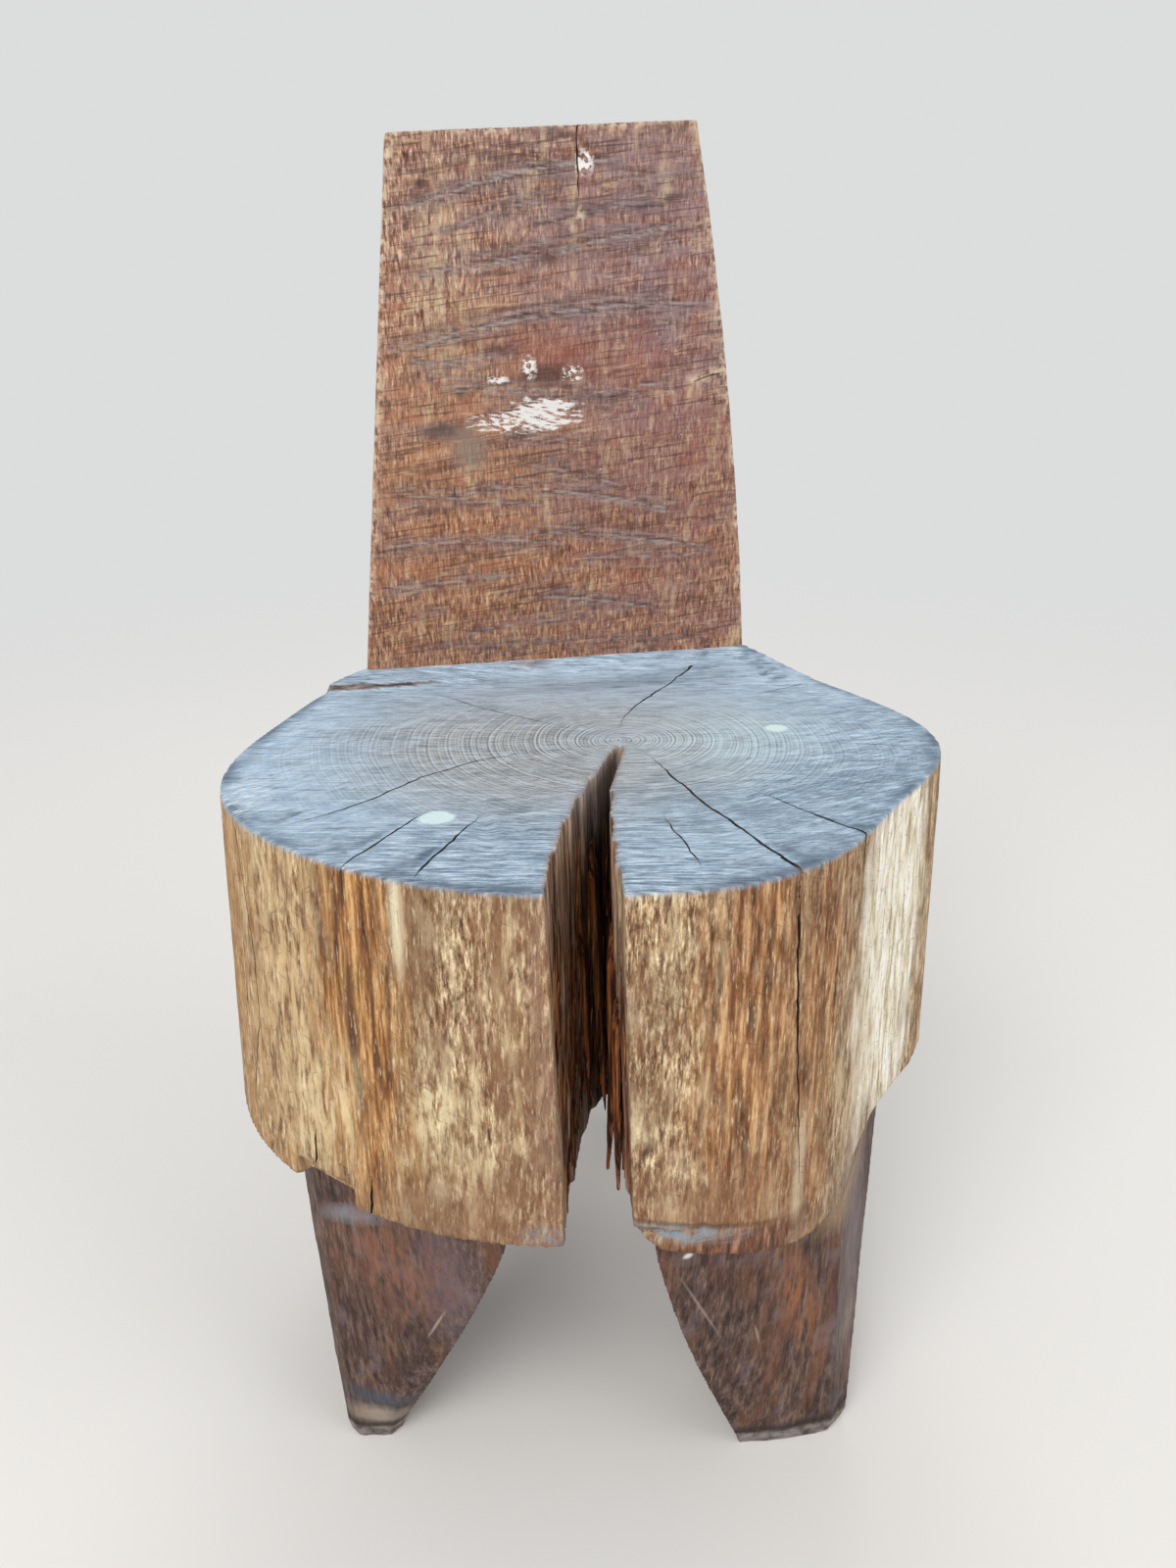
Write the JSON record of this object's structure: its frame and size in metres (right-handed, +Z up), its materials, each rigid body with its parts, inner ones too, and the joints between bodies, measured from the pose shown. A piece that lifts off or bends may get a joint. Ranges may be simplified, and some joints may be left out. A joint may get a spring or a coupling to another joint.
{
  "type": "carved log chair",
  "caption": "Low chair hewn from a log: round drum seat with an open drying split, flat back left standing at the rear, tapered hewn legs.",
  "frame": {"origin": "on the floor under the middle of the object's bounding box", "axes": "+Z up, +Y towards the back, +X to the right as seen from the front; the back's flat face points to -Y"},
  "size_m": [0.3952, 0.3772, 0.702],
  "materials": {
    "weathered_log": "dry, grey weathered end grain on top, tan stripped sides",
    "sawn_back": "dry rough-sawn red-brown heartwood",
    "hewn_legs": "dark worn red-brown wood",
    "torn_heartwood": "torn fibrous heartwood"
  },
  "bodies": {
    "root": {"seat_drum": "weathered_log", "back_slab": "sawn_back", "front_left_leg": "hewn_legs", "front_right_leg": "hewn_legs", "rear_left_leg": "hewn_legs", "rear_right_leg": "hewn_legs", "left_wall_long_splinter": "torn_heartwood", "left_wall_short_splinter": "torn_heartwood", "right_wall_long_splinter": "torn_heartwood", "right_wall_short_splinter": "torn_heartwood"}
  },
  "joints": []
}
